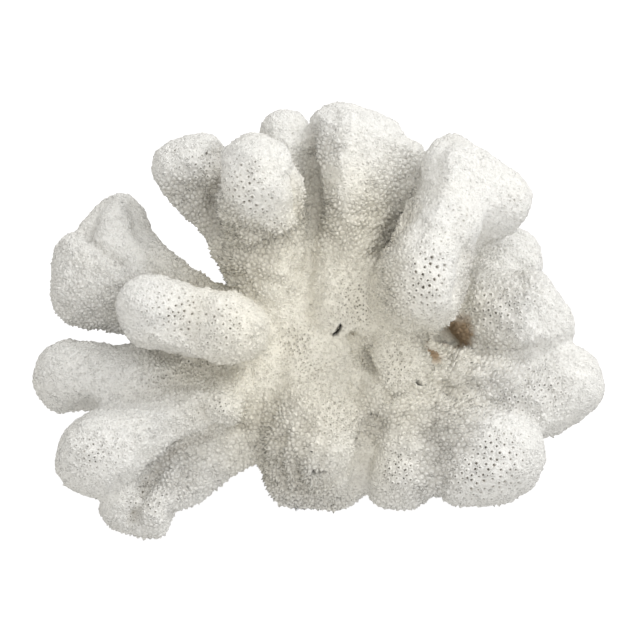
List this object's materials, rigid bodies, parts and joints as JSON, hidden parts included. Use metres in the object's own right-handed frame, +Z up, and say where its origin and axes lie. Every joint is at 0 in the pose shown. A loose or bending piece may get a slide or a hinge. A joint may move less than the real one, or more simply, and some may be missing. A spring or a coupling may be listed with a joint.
{
  "type": "branching coral",
  "caption": "Dried white branching coral with flattened, webbed and clubbed branches spread round a shallow bowl, covered in small round cups and pores, standing on its sawn foot.",
  "frame": {"origin": "The middle of the flat sawn foot that the coral stands on, at table height.", "axes": "+X to the right along the coral's widest spread, +Y to the back, +Z up from the table."},
  "size_m": [0.1717, 0.1028, 0.0995],
  "materials": {
    "coral": "matte"
  },
  "bodies": {
    "root": {"body": "coral", "back_left_paw": "coral", "back_tall_branch": "coral", "right_high_paw": "coral", "right_rear_fan": "coral", "right_side_branch": "coral", "front_right_paw": "coral", "left_rear_fan": "coral", "left_front_club": "coral", "left_low_fan": "coral", "left_low_finger": "coral", "rear_low_branch": "coral"}
  },
  "joints": []
}
